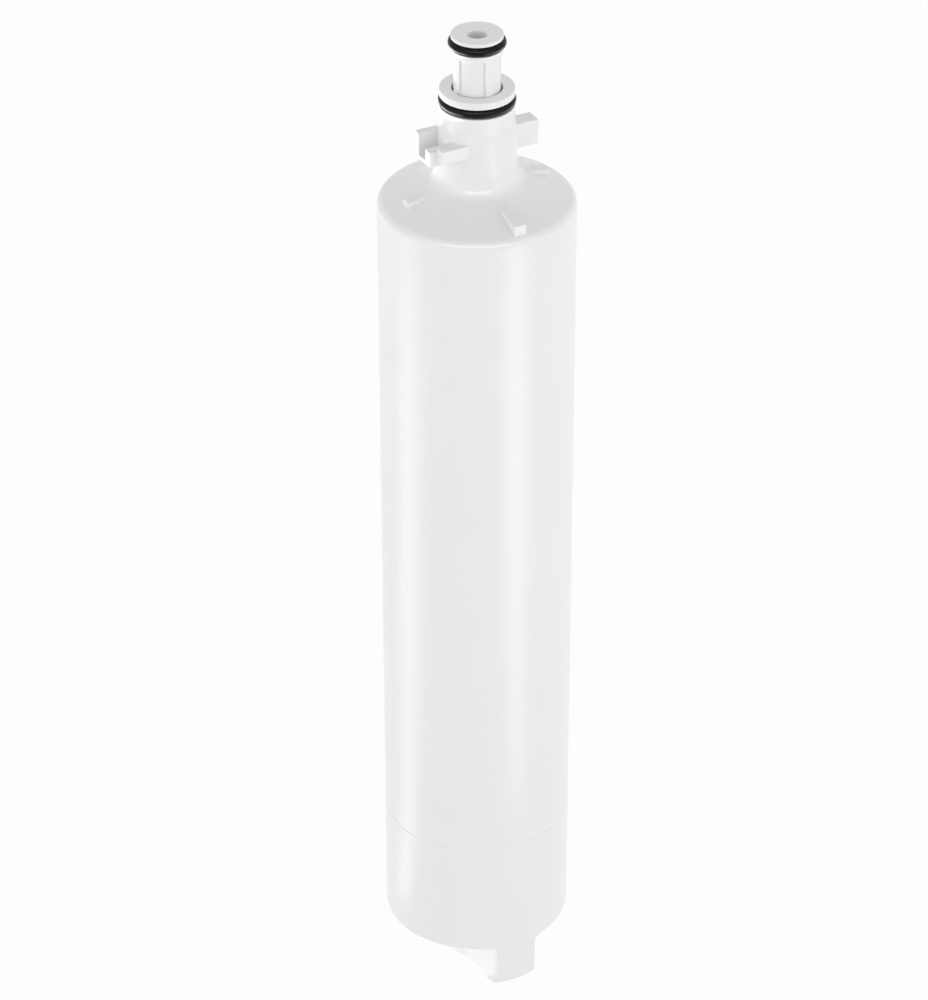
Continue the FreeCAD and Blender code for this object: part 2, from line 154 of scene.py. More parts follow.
# Outlet stem
SPIGOT_R = 7.16
SPIGOT_RIM_H = 1.05
SPIGOT_EDGE = 0.2
SPIGOT_GROOVE_R = 5.26
SPIGOT_COLLAR_H = 1.2
SPIGOT_TAPER_H = 1.4
SHAFT_R = 6.47
OUTLET_R = 2.65
OUTLET_LIP = 0.9
OUTLET_H = 13.0
STEM_BORE_R = 4.0
STEM_BORE_TAPER = 2.5
FLUTE_COUNT = 6
FLUTE_W = 0.8
FLUTE_DEPTH = 0.5
FLUTE_RUN_IN = 0.75
FLUTE_LENGTH = 21.5
FLUTE_SIDE = 0.08
FLUTE_TURN = 19.7
GUIDE_COUNT = 4
GUIDE_W = 2.0
GUIDE_PLAY = 0.05
GUIDE_LEAD = 0.9
GUIDE_RISE = 0.9
GUIDE_LENGTH = 11.0
GUIDE_TURN = 3.0

# Seal rings
RING_SECTION_R = 1.325
NECK_RING_R = 9.325
SPIGOT_RING_R = 6.625

# Fineness of the surfaces
ROUND_STEPS = 8
TURN_STEPS = 256
GRIP_STEPS = 720
STEM_STEPS = 720
RING_STEPS = 64
BEVEL_STEPS = 3
BEVEL_ANGLE = math.radians(20)
SHARP_ANGLE = math.radians(38)
MERGE_DISTANCE = 0.0005
UNDERSIDE_SHARES = (0.7, 0.35, 0)
POCKET_SHARES = (0, 0.5, 1)

# Grain of the finishes, with scales per metre
MOTTLE_SCALE = 60.0
MOTTLE_DETAIL = 4.0
STIPPLE_SCALE = 2500.0
STIPPLE_DETAIL = 2.0

# Camera, fitted to the photograph: angles in degrees, and the focal length as a share of the sensor
VIEW_TURN = 27.0
VIEW_DOWN = 32.866
VIEW_ROLL = -0.08
CAMERA_PLACE = (-436.8, -849.15, 485.2)
FOCAL_SHARE = 3.949
SENSOR = 36.0
CLIP_END = 50.0

# Floor and room
FLOOR_HALF = 6.0
FLOOR_COLOUR = (0.86, 0.86, 0.86, 1)
FLOOR_SHOWN = 0.95
FLOOR_GLOW = 0.4
ROOM_COLOUR = (0.99, 0.995, 1.0, 1)
HORIZON_LIGHT = 1.4
OVERHEAD_LIGHT = 0.36

# Lamps: turns are degrees from the camera's side of the object to its right, heights are above the
# floor, and glow is the brightness as seen
PANEL_DISTANCE = 0.8
PANEL_SIZE = (0.5, 0.9)
LEFT_PANEL = {"turn": -62, "glow": 0.55}
RIGHT_PANEL = {"turn": 60, "glow": 0.75}
ON_FLOOR = 0.001
BY_NECK = 0.263
UNDER_NECK_RING = 0.2865
UNDER_SPIGOT_RING = 0.3035
CARDS = (
    # name, turn, near, far, width, glow, height
    ("left card", -84, 0.055, 0.08, 0.025, 1.5, ON_FLOOR),
    ("left card", -84, 0.08, 0.13, 0.045, 1.4, ON_FLOOR),
    ("left card", -84, 0.13, 0.2, 0.085, 1.5, ON_FLOOR),
    ("left card", -84, 0.2, 0.3, 0.14, 1.8, ON_FLOOR),
    ("left card", -84, 0.3, 0.45, 0.2, 2.2, ON_FLOOR),
    ("right card", 45, 0.12, 0.17, 0.05, 1.5, ON_FLOOR),
    ("right card", 45, 0.17, 0.25, 0.08, 1.9, ON_FLOOR),
    ("right card", 45, 0.25, 0.35, 0.12, 2.4, ON_FLOOR),
    ("right card", 45, 0.35, 0.5, 0.18, 3.2, ON_FLOOR),
    ("far left card", -105, 0.46, 0.8, 0.8, 1.0, ON_FLOOR),
    ("neck card", -112, 0.012, 0.11, 0.11, 0.8, BY_NECK),
    ("neck ring card", -55, 0.0106, 0.0136, 0.013, 7.0, UNDER_NECK_RING),
    ("neck ring streak", 58, 0.0124, 0.0134, 0.014, 6.0, UNDER_NECK_RING),
    ("spigot ring card", -58, 0.008, 0.0108, 0.011, 6.5, UNDER_SPIGOT_RING),
    ("spigot ring streak", 57, 0.0094, 0.0112, 0.012, 8.0, UNDER_SPIGOT_RING),
    ("grip card", -30, 0.003, 0.034, 0.026, 1.25, ON_FLOOR),
)
BANK = {"turn": 0, "distance": 1.2, "rise": 30, "size": (1.8, 0.2), "glow": 9.0}


def shoulder_z(r):
    """Height of the shoulder's cone at the radius r."""
    return NECK_FOOT_Z - (r - LOWER_NECK_R) * SHOULDER_FALL


def ceiling_z(r):
    """Height of the cone inside, one wall below the shoulder."""
    return shoulder_z(r) - WALL * math.hypot(1, SHOULDER_FALL)


def arc_between(before, corner, after, radius):
    """Points of the arc of that radius tangent to both sides of a corner: centre on the bisector,
    swept evenly between the two tangent points."""
    before, corner, after = np.array(before), np.array(corner), np.array(after)
    a = (before - corner) / np.linalg.norm(before - corner)
    b = (after - corner) / np.linalg.norm(after - corner)
    half = math.acos(np.clip(a @ b, -1, 1)) / 2
    middle = (a + b) / np.linalg.norm(a + b)
    centre = corner + middle * radius / math.sin(half)
    start = corner + a * radius / math.tan(half) - centre
    end = corner + b * radius / math.tan(half) - centre
    sweep = math.pi - 2 * half
    share = np.linspace(0, 1, ROUND_STEPS + 1)[:, None]
    return centre + (np.sin((1 - share) * sweep) * start + np.sin(share * sweep) * end) / math.sin(sweep)


def rounded_outline(corners):
    """Closed outline through corners (a, b, radius), each corner an arc, or a point where the
    radius is 0."""
    points = []
    for i, corner in enumerate(corners):
        if not corner[2]:
            points.append([corner[:2]])
            continue
        after = corners[(i + 1) % len(corners)]
        points.append(arc_between(corners[i - 1][:2], corner[:2], after[:2], corner[2]))
    return np.concatenate(points)


def piece_from_grid(name, points):
    """Mesh of quads over a grid of points (rows, columns, 3) in millimetres. Rows and columns close on
    themselves, and points that fall together are merged."""
    rows, columns = points.shape[:2]
    row = np.arange(rows)[:, None]
    column = np.arange(columns)[None, :]
    next_row = (row + 1) % rows
    next_column = (column + 1) % columns
    quads = np.stack([
        row * columns + column, row * columns + next_column,
        next_row * columns + next_column, next_row * columns + column], axis=-1).reshape(-1, 4)
    mesh = bpy.data.meshes.new(name)
    mesh.vertices.add(rows * columns)
    mesh.vertices.foreach_set("co", (points * MM).astype(np.float32).ravel())
    mesh.loops.add(quads.size)
    mesh.loops.foreach_set("vertex_index", quads.astype(np.int32).ravel())
    mesh.polygons.add(len(quads))
    mesh.polygons.foreach_set("loop_start", np.arange(0, quads.size, 4, dtype=np.int32))
    mesh.update(calc_edges=True)
    tidy_mesh(mesh)
    piece = bpy.data.objects.new(name, mesh)
    bpy.context.scene.collection.objects.link(piece)
    return piece


def tidy_mesh(mesh):
    """Merges points that fall together, drops faces without area and turns the faces outwards."""
    work = bmesh.new()
    work.from_mesh(mesh)
    bmesh.ops.remove_doubles(work, verts=work.verts, dist=MERGE_DISTANCE * MM)
    bmesh.ops.dissolve_degenerate(work, edges=work.edges, dist=MERGE_DISTANCE * MM)
    bmesh.ops.recalc_face_normals(work, faces=work.faces)
    work.to_mesh(mesh)
    work.free()


def shade(piece):
    """Smooth shading with true edges kept sharp, flat faces kept flat."""
    mesh = piece.data
    mesh.polygons.foreach_set("use_smooth", np.ones(len(mesh.polygons), dtype=bool))
    mesh.set_sharp_from_angle(angle=SHARP_ANGLE)
    weighted = piece.modifiers.new("flat faces stay flat", "WEIGHTED_NORMAL")
    weighted.keep_sharp = True
    weighted.mode = "FACE_AREA"


def around(radius, z, turn):
    """Points (rows, columns, 3) at a radius, height z and angle turn, each one value or spread over
    rows or columns: (radius * cos(turn), radius * sin(turn), z)."""
    radius, z, turn = np.broadcast_arrays(radius, z, turn)
    return np.stack([radius * np.cos(turn), radius * np.sin(turn), z], axis=-1)


def full_turn(steps):
    """Angles of the columns of a grid, evenly spaced round the axis."""
    return np.arange(steps)[None, :] * 2 * np.pi / steps


def turned_piece(name, corners):
    """Surface of revolution: the closed outline of (radius, height) carried round the axis."""
    outline = rounded_outline(corners)
    points = around(outline[:, :1], outline[:, 1:], full_turn(TURN_STEPS))
    return piece_from_grid(name, points)


def block(name, outline, along, low, high, turn=0.0, end_faces=None):
    """Closed prism with rounded edges: an outline of (y, z) carried along x, or of (x, z) carried
    along y, from low to high, then turned about the axis. Low and high are one place or one for
    each corner, and end_faces may split an end that is bent."""
    outline = np.array(outline, float)
    count = len(outline)
    ends = []
    for place in (low, high):
        run = np.broadcast_to(place, count)
        side, height = outline[:, 0], outline[:, 1]
        ends.append(np.stack([run, side, height] if along == "x" else [side, run, height], axis=-1))
    points = np.concatenate(ends)
    cos, sin = math.cos(turn), math.sin(turn)
    spin = np.array([[cos, -sin, 0], [sin, cos, 0], [0, 0, 1]])
    faces = [(i, (i + 1) % count, count + (i + 1) % count, count + i) for i in range(count)]
    for corners in end_faces or [range(count)]:
        faces.append(tuple(corners))
        faces.append(tuple(count + i for i in reversed(corners)))
    mesh = bpy.data.meshes.new(name)
    mesh.from_pydata((points @ spin.T * MM).tolist(), [], faces)
    tidy_mesh(mesh)
    piece = bpy.data.objects.new(name, mesh)
    edge = piece.modifiers.new("edge", "BEVEL")
    edge.width = LUG_ROUND * MM
    edge.segments = BEVEL_STEPS
    edge.limit_method = "ANGLE"
    edge.angle_limit = BEVEL_ANGLE
    return piece


def hook_blocks():
    """Hooked lug along -x: tall plate, floor and short leg in one bent section, and the step before
    the leg. The underside climbs evenly from the plate's back to the leg's front."""
    plate_front = HOOK_BACK_Y - HOOK_PLATE_T
    leg_back = plate_front - HOOK_SLOT_W
    leg_front = leg_back - HOOK_LEG_T
    step_front = leg_front - HOOK_STEP_OUT
    low = NECK_FOOT_Z + HOOK_LIFT
    leg_low = low + HOOK_RISE
    leg_top = leg_low + HOOK_LEG_H
    step_low = leg_low + HOOK_STEP_UNDERCUT
    step_top = leg_top + HOOK_STEP_RISE
    climb = HOOK_RISE / (HOOK_BACK_Y - leg_front)
    bend_z = low + (HOOK_BACK_Y - leg_back) * climb
    outline = np.array([
        (HOOK_BACK_Y, low), (HOOK_BACK_Y, low + HOOK_PLATE_H), (plate_front, low + HOOK_PLATE_H),
        (plate_front, low + HOOK_FLOOR_T + HOOK_PLATE_T * climb), (leg_back, bend_z + HOOK_FLOOR_T),
        (leg_back, leg_top), (leg_front, leg_top), (leg_front, leg_low), (leg_back, bend_z)])
    reach = np.interp(outline[:, 0], [leg_back, HOOK_BACK_Y], [HOOK_LEG_REACH, HOOK_PLATE_REACH])
    step_outline = [
        (leg_front + LUG_ROUND, step_low), (leg_front + LUG_ROUND, step_top),
        (step_front, step_top), (step_front, step_low + HOOK_STEP_LEAD)]
    # The leg's end is square and the plate's leans back, so the end is split at the leg's back
    end_faces = [[0, 1, 2, 3, 4, 8], [4, 5, 6, 7, 8]]
    return [
        block("hook", outline, "x", -reach, -NECK_BORE_R, end_faces=end_faces),
        block("hook_step", step_outline, "x", HOOK_STEP_SETBACK - HOOK_LEG_REACH, -HOOK_STEP_ROOT_X),
    ]


def plain_lug():
    """Plain lug along +x: a box that starts inside the neck's wall."""
    half = PLAIN_LUG_W / 2
    low = NECK_FOOT_Z + PLAIN_LUG_LIFT
    high = low + PLAIN_LUG_H
    outline = [(-half, low), (half, low), (half, high), (-half, high)]
    return block("plain_lug", outline, "x", LUG_ROOT_R, PLAIN_LUG_REACH)


def shoulder_ribs():
    """Wedges every quarter turn, their tops falling less than the cone, and running into it at
    their start."""
    ribs = []
    tail_r = RIB_START_R - RIB_TAIL
    start_z = shoulder_z(RIB_START_R)
    sunk = WALL / 2
    for quarter in range(4):
        end_r = LONG_RIB_END_R if quarter % 2 else SHORT_RIB_END_R
        outline = [
            (tail_r, start_z + RIB_TAIL * RIB_FALL),
            (end_r, start_z - (end_r - RIB_START_R) * RIB_FALL),
            (end_r, shoulder_z(end_r) - sunk),
            (tail_r, start_z - sunk)]
        ribs.append(block("rib", outline, "y", -RIB_W / 2, RIB_W / 2, quarter * math.pi / 2))
    return ribs


def join_blocks(piece, blocks):
    """Union of a closed piece with closed blocks, written back as one plain mesh."""
    tools = bpy.data.collections.new("blocks")
    bpy.context.scene.collection.children.link(tools)
    for one in blocks:
        tools.objects.link(one)
    union = piece.modifiers.new("union", "BOOLEAN")
    union.operand_type = "COLLECTION"
    union.collection = tools
    union.operation = "UNION"
    union.solver = "EXACT"
    bpy.context.view_layer.update()
    evaluated = piece.evaluated_get(bpy.context.evaluated_depsgraph_get())
    joined = bpy.data.meshes.new_from_object(evaluated)
    piece.modifiers.clear()
    piece.data = joined
    for one in blocks:
        bpy.data.objects.remove(one)
    bpy.data.collections.remove(tools)


def make_housing():
    """Canister, shoulder and neck as one turned wall, with the lugs and ribs joined on."""
    mouth_low_z = NECK_END_Z - NECK_MOUTH_H
    shell = turned_piece("housing_shell", [
        (INNER_R, SEAM_Z, 0),
        (BODY_R - SEAM_CHAMFER, SEAM_Z, 0),
        (BODY_R, SEAM_Z + SEAM_CHAMFER, SEAM_ROUND),
        (BODY_R, SHOULDER_EDGE_Z, SHOULDER_ROUND),
        (LOWER_NECK_R, NECK_FOOT_Z, NECK_FILLET),
        (LOWER_NECK_R, STEP_LOW_Z, CORNER_ROUND),
        (NECK_LAND_R, STEP_TOP_Z, CORNER_ROUND),
        (NECK_LAND_R, UPPER_NECK_Z, CORNER_ROUND),
        (NECK_GROOVE_R, UPPER_NECK_Z, CORNER_ROUND),
        (NECK_GROOVE_R, LAND_LOW_Z, CORNER_ROUND),
        (NECK_LAND_R, LAND_LOW_Z, CORNER_ROUND),
        (NECK_LAND_R, NECK_END_Z, NECK_EDGE),
        (NECK_MOUTH_R, NECK_END_Z, NECK_EDGE),
        (NECK_MOUTH_R, mouth_low_z, 0),
        (NECK_BORE_R, mouth_low_z - NECK_BORE_STEP, 0),
        (NECK_BORE_R, ceiling_z(NECK_BORE_R), 0),
        (INNER_R, ceiling_z(INNER_R), 0),
    ])
    join_blocks(shell, [plain_lug()] + hook_blocks() + shoulder_ribs())
    return shell


def smooth_less(a, b, blend):
    """The lesser of two values, eased where they differ by less than blend:
    min(a, b) - c^2 * blend / 4, with c = 1 - |a - b| / blend."""
    close = np.maximum(blend - np.abs(a - b), 0) / blend
    return np.minimum(a, b) - close ** 2 * blend / 4


def smooth_more(a, b, blend):
    """The greater of two values, eased in the same way."""
    return -smooth_less(-a, -b, blend)


def quarter_round(h, radius):
    """How far a rounded edge draws back at the height h above its lowest point:
    radius - sqrt(radius^2 - (radius - h)^2)."""
    h = np.clip(h, 0, radius)
    return radius - np.sqrt(radius ** 2 - (radius - h) ** 2)


def grip_plan_r(turn, out):
    """Radius of the grip's plan at the angle turn, moved outwards by out: the greatest of its two
    straight sides and its hub, each a line or circle in polar form, mirrored into the first
    quarter."""
    cos, sin = np.abs(np.cos(turn)), np.abs(np.sin(turn))
    end_turn = math.atan2(GRIP_CREASE_X - GRIP_END_X, BODY_R - GRIP_CREASE_Y)
    side = GRIP_CREASE_X * math.cos(end_turn) + GRIP_CREASE_Y * math.sin(end_turn)
    far = math.hypot(GRIP_CREASE_X, GRIP_CREASE_Y)
    lean = math.atan2(GRIP_CREASE_Y, GRIP_CREASE_X) - math.acos(GRIP_HUB_R / far)
    past_hub = np.maximum(np.arctan2(sin, cos) - lean, 0)
    arm = (side + out) / (cos * math.cos(end_turn) + sin * math.sin(end_turn))
    flank = (GRIP_HUB_R + out) / np.cos(np.minimum(past_hub, GRIP_FLANK_TURN))
    return np.maximum(arm, flank)


def grip_r(turn, z, out):
    """Radius of the grip at a height: its plan, cut off in line with the canister, lower corners
    rounded."""
    limit = BODY_R - GRIP_END_INSET - quarter_round(z - GRIP_LOW_Z, GRIP_CORNER_ROUND)
    return smooth_less(np.minimum(grip_plan_r(turn, out), 2 * BODY_R), limit, GRIP_END_BLEND)


def make_cap():
    """Cup and grip as one closed grid of radius over angle and level: each column runs down the
    wall, in under the cup, down the grip, across its underside, and back up the pocket, the floor
    and the tongue inside."""
    turn = full_turn(GRIP_STEPS)
    rows = []

    def level(radius, z):
        rows.append(around(radius, z, turn)[0])

    level(BODY_R - SEAM_CHAMFER, SEAM_Z)
    level(BODY_R, SEAM_Z - SEAM_CHAMFER)
    level(BODY_R, SEAM_Z - 2 * SEAM_CHAMFER)
    ease = np.sin(np.linspace(0, np.pi / 2, ROUND_STEPS + 1))
    for h in CAP_EDGE_ROUND * (1 - ease):
        cup = BODY_R - quarter_round(h, CAP_EDGE_ROUND)
        grip = grip_r(turn, CAP_LOW_Z + h, GRIP_ROOT_FILLET + h)
        level(np.minimum(smooth_more(cup, grip, GRIP_CUP_BLEND), BODY_R), CAP_LOW_Z + h)
    for t in GRIP_ROOT_FILLET * (1 - np.cos(np.linspace(0, np.pi / 2, ROUND_STEPS + 1))):
        level(grip_r(turn, CAP_LOW_Z - t, quarter_round(t, GRIP_ROOT_FILLET)), CAP_LOW_Z - t)
    heights = np.concatenate([
        np.linspace(GRIP_CORNER_ROUND, GRIP_EDGE_ROUND, ROUND_STEPS, endpoint=False),
        GRIP_EDGE_ROUND * (1 - ease)])
    for h in heights:
        level(grip_r(turn, GRIP_LOW_Z + h, -quarter_round(h, GRIP_EDGE_ROUND)), GRIP_LOW_Z + h)
    underside = grip_r(turn, GRIP_LOW_Z, -GRIP_EDGE_ROUND)
    for share in UNDERSIDE_SHARES:
        level(underside * share, GRIP_LOW_Z)
    pocket_low_z = GRIP_LOW_Z + GRIP_WALL
    pocket = np.minimum(grip_plan_r(turn, -GRIP_WALL), INNER_R - GRIP_END_INSET)
    for share in POCKET_SHARES:
        level(pocket * share, pocket_low_z)
    level(pocket, CAP_FLOOR_Z)
    level(INNER_R, CAP_FLOOR_Z)
    level(INNER_R, SEAM_Z - TONGUE_ROOT_H - TONGUE_FLARE_H)
    level(TONGUE_R, SEAM_Z - TONGUE_ROOT_H)
    level(TONGUE_R, SEAM_Z + TONGUE_H)
    level(INNER_R, SEAM_Z + TONGUE_H)
    level(INNER_R, SEAM_Z)
    return piece_from_grid("cap_with_grip", np.stack(rows))


def pulse(turn, count, first, half_width, edge):
    """One over each of count evenly spaced bands of that half width, falling to nought over edge.
    First is the place of one band in degrees, and the other angles are in radians."""
    pitch = 2 * np.pi / count
    off = np.abs((turn - math.radians(first) + pitch / 2) % pitch - pitch / 2)
    return np.clip((half_width + edge / 2 - off) / edge, 0, 1)


def make_stem():
    """Spigot and shaft: a turned outline, its shaft drawn in along the flutes and raised along the
    guides."""
    turn = full_turn(STEM_STEPS)
    rim_low_z = SPIGOT_TOP_Z - SPIGOT_RIM_H
    collar_top_z = rim_low_z - GROOVE_W
    collar_low_z = collar_top_z - SPIGOT_COLLAR_H
    taper_low_z = collar_low_z - SPIGOT_TAPER_H
    flute_top_z = taper_low_z + FLUTE_RUN_IN
    flute_top_r = SHAFT_R + (SPIGOT_R - SHAFT_R) * FLUTE_RUN_IN / SPIGOT_TAPER_H
    outlet_low_z = SPIGOT_TOP_Z - OUTLET_H
    head = rounded_outline([
        (OUTLET_R, outlet_low_z, 0),
        (OUTLET_R, SPIGOT_TOP_Z, OUTLET_LIP),
        (SPIGOT_R, SPIGOT_TOP_Z, SPIGOT_EDGE),
        (SPIGOT_R, rim_low_z, CORNER_ROUND),
        (SPIGOT_GROOVE_R, rim_low_z, CORNER_ROUND),
        (SPIGOT_GROOVE_R, collar_top_z, CORNER_ROUND),
        (SPIGOT_R, collar_top_z, CORNER_ROUND),
        (SPIGOT_R, collar_low_z, CORNER_ROUND),
        (flute_top_r, flute_top_z, 0),
    ])
    flute = pulse(turn, FLUTE_COUNT, FLUTE_TURN, FLUTE_W / 2 / SHAFT_R, FLUTE_SIDE / SHAFT_R)
    guide = pulse(turn, GUIDE_COUNT, GUIDE_TURN, GUIDE_W / 2 / SHAFT_R, FLUTE_SIDE / SHAFT_R)
    fluted = SHAFT_R - FLUTE_DEPTH * flute
    raised = np.maximum(fluted, SHAFT_R + (NECK_MOUTH_R - GUIDE_PLAY - SHAFT_R) * guide)
    guide_top_z = NECK_END_Z + GUIDE_RISE
    guide_low_z = guide_top_z - GUIDE_LENGTH
    flute_low_z = flute_top_z - FLUTE_LENGTH
    flute_start = flute_top_r + (SHAFT_R - FLUTE_DEPTH - flute_top_r) * flute
    shaft = [
        (flute_start, flute_top_z - FLUTE_SIDE),
        (fluted, taper_low_z),
        (fluted, guide_top_z),
        (raised, guide_top_z - GUIDE_LEAD),
        (raised, guide_low_z),
        (fluted, guide_low_z),
        (fluted, flute_low_z),
        (SHAFT_R, flute_low_z),
        (SHAFT_R, STEM_FOOT_Z),
        (STEM_BORE_R, STEM_FOOT_Z),
        (STEM_BORE_R, outlet_low_z - STEM_BORE_TAPER),
    ]
    rows = [around(radius, z, turn)[0] for radius, z in [*head, *shaft]]
    return piece_from_grid("spigot_stem", np.stack(rows))


def make_ring(name, ring_r, middle_z):
    """Torus: a circle of the section's radius carried round the axis at ring_r."""
    section = np.linspace(0, 2 * np.pi, RING_STEPS, endpoint=False)[:, None]
    radius = ring_r + RING_SECTION_R * np.cos(section)
    points = around(radius, middle_z + RING_SECTION_R * np.sin(section), full_turn(TURN_STEPS))
    return piece_from_grid(name, points)


def node(tree, kind, place, **settings):
    """New node of a shader tree, with its settings."""
    made = tree.nodes.new(kind)
    made.location = place
    for key, value in settings.items():
        setattr(made, key, value)
    return made


def surface_grain_group():
    """Fine grain of a moulded surface: a slow mottle and a fine stipple on object coordinates."""
    group = bpy.data.node_groups.new("surface grain", "ShaderNodeTree")
    defaults = {
        "Mottle Scale": MOTTLE_SCALE, "Stipple Scale": STIPPLE_SCALE, "Rough Low": 0.3, "Rough High": 0.4}
    for name, default in defaults.items():
        socket = group.interface.new_socket(name, in_out="INPUT", socket_type="NodeSocketFloat")
        socket.default_value = default
    for name in ("Mottle", "Roughness", "Height"):
        group.interface.new_socket(name, in_out="OUTPUT", socket_type="NodeSocketFloat")
    start = node(group, "NodeGroupInput", (-900, 0))
    end = node(group, "NodeGroupOutput", (500, 0))
    where = node(group, "ShaderNodeTexCoord", (-900, 300))
    mottle = node(group, "ShaderNodeTexNoise", (-600, 300))
    mottle.inputs["Detail"].default_value = MOTTLE_DETAIL
    stipple = node(group, "ShaderNodeTexNoise", (-600, -100))
    stipple.inputs["Detail"].default_value = STIPPLE_DETAIL
    rough = node(group, "ShaderNodeMapRange", (100, 100))
    links = group.links
    for texture, scale in ((mottle, "Mottle Scale"), (stipple, "Stipple Scale")):
        links.new(where.outputs["Object"], texture.inputs["Vector"])
        links.new(start.outputs[scale], texture.inputs["Scale"])
    links.new(mottle.outputs["Fac"], rough.inputs["Value"])
    links.new(start.outputs["Rough Low"], rough.inputs["To Min"])
    links.new(start.outputs["Rough High"], rough.inputs["To Max"])
    links.new(mottle.outputs["Fac"], end.inputs["Mottle"])
    links.new(rough.outputs["Result"], end.inputs["Roughness"])
    links.new(stipple.outputs["Fac"], end.inputs["Height"])
    return group


grain = surface_grain_group()


def finish_material(name, dark, light, rough, bump,
                    mottle_scale=MOTTLE_SCALE, stipple_scale=STIPPLE_SCALE, ior=1.5):
    """Principled surface whose colour runs from dark to light over the mottle, with a stippled bump.
    Colours are linear, rough is (low, high), bump is the height of the stipple in millimetres."""
    material = bpy.data.materials.new(name)
    material.use_nodes = True
    tree = material.node_tree
    tree.nodes.clear()
    output = node(tree, "ShaderNodeOutputMaterial", (700, 0))
    shader = node(tree, "ShaderNodeBsdfPrincipled", (400, 0))
    shader.inputs["IOR"].default_value = ior
    texture = node(tree, "ShaderNodeGroup", (-300, 0), node_tree=grain)
    texture.inputs["Mottle Scale"].default_value = mottle_scale
    texture.inputs["Stipple Scale"].default_value = stipple_scale
    texture.inputs["Rough Low"].default_value = rough[0]
    texture.inputs["Rough High"].default_value = rough[1]
    tint = node(tree, "ShaderNodeMix", (100, 200), data_type="RGBA")
    tint.inputs["A"].default_value = (*dark, 1)
    tint.inputs["B"].default_value = (*light, 1)
    raised = node(tree, "ShaderNodeBump", (100, -200))
    raised.inputs["Strength"].default_value = 1.0
    raised.inputs["Distance"].default_value = bump * MM
    links = tree.links
    links.new(texture.outputs["Mottle"], tint.inputs["Factor"])
    links.new(tint.outputs["Result"], shader.inputs["Base Color"])
    links.new(texture.outputs["Roughness"], shader.inputs["Roughness"])
    links.new(texture.outputs["Height"], raised.inputs["Height"])
    links.new(raised.outputs["Normal"], shader.inputs["Normal"])
    links.new(shader.outputs["BSDF"], output.inputs["Surface"])
    return material


def make_materials():
    """Finish of every slot of the record."""
    white = {"dark": (0.81, 0.815, 0.822), "light": (0.835, 0.84, 0.847), "bump": 0.002, "ior": 1.49}
    return {
        "white_shell": finish_material("white shell", rough=(0.26, 0.32), **white),
        "white_stem": finish_material("white stem", rough=(0.26, 0.34), **white),
        "black_seal": finish_material(
            "black seal", dark=(0.003, 0.003, 0.0035), light=(0.006, 0.006, 0.007),
            rough=(0.16, 0.22), bump=0.002, mottle_scale=300.0, ior=1.22),
        "carbon": finish_material(
            "carbon", dark=(0.006, 0.006, 0.006), light=(0.03, 0.03, 0.03),
            rough=(0.75, 0.95), bump=0.15, mottle_scale=400.0, stipple_scale=1200.0),
        "white_fleece": finish_material(
            "white fleece", dark=(0.6, 0.6, 0.58), light=(0.8, 0.8, 0.78),
            rough=(0.85, 0.95), bump=0.12, mottle_scale=500.0, stipple_scale=1500.0),
        "net": finish_material(
            "net", dark=(0.66, 0.68, 0.68), light=(0.74, 0.75, 0.75),
            rough=(0.4, 0.55), bump=0.01, mottle_scale=200.0),
        "bond": finish_material(
            "bond", dark=(0.62, 0.56, 0.4), light=(0.72, 0.66, 0.5),
            rough=(0.3, 0.5), bump=0.02, mottle_scale=250.0),
    }


def dress(piece, replaced, slot, materials):
    """Shades a new piece, gives it the slot's finish, and puts it in the place of a solid of the
    frame."""
    shade(piece)
    piece.data.materials.clear()
    piece.data.materials.append(materials[slot])
    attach(piece, "root")
    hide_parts(replaced)


def dress_frame(materials):
    """Finishes of the solids that stay as they are, by the record's slots."""
    for part in frame["record"]["subparts"]:
        solid = frame["nodes"][part["node"]]
        for place in solid.material_slots:
            place.material = materials[part["material_slot"]]


def make_floor():
    """Wide pale floor under the grip. It shows nearly white, dimmed a little by the shadow, lights
    the object with a weaker glow, and is clear from below."""
    half = FLOOR_HALF
    z = GRIP_LOW_Z * MM
    corners = [(-half, -half, z), (half, -half, z), (half, half, z), (-half, half, z)]
    mesh = bpy.data.meshes.new("floor")
    mesh.from_pydata(corners, [], [(0, 1, 2, 3)])
    floor = bpy.data.objects.new("floor", mesh)
    bpy.context.scene.collection.objects.link(floor)
    material = bpy.data.materials.new("pale floor")
    material.use_nodes = True
    tree = material.node_tree
    tree.nodes.clear()
    output = node(tree, "ShaderNodeOutputMaterial", (900, 0))
    paint = node(tree, "ShaderNodeBsdfDiffuse", (0, 100))
    paint.inputs["Color"].default_value = FLOOR_COLOUR
    glow = node(tree, "ShaderNodeEmission", (0, -100))
    glow.inputs["Strength"].default_value = 1.0
    clear = node(tree, "ShaderNodeBsdfTransparent", (300, -200))
    seen = seen_ray(tree, (-600, 300))
    share = node(tree, "ShaderNodeMapRange", (0, 300))
    share.inputs["To Min"].default_value = FLOOR_GLOW
    share.inputs["To Max"].default_value = FLOOR_SHOWN
    shown = node(tree, "ShaderNodeMixShader", (300, 100))
    face = node(tree, "ShaderNodeNewGeometry", (300, 400))
    side = node(tree, "ShaderNodeMixShader", (600, 0))
    links = tree.links
    links.new(seen, share.inputs["Value"])
    links.new(share.outputs["Result"], shown.inputs["Fac"])
    links.new(paint.outputs["BSDF"], shown.inputs[1])
    links.new(glow.outputs["Emission"], shown.inputs[2])
    links.new(face.outputs["Backfacing"], side.inputs["Fac"])
    links.new(shown.outputs["Shader"], side.inputs[1])
    links.new(clear.outputs["BSDF"], side.inputs[2])
    links.new(side.outputs["Shader"], output.inputs["Surface"])
    mesh.materials.append(material)


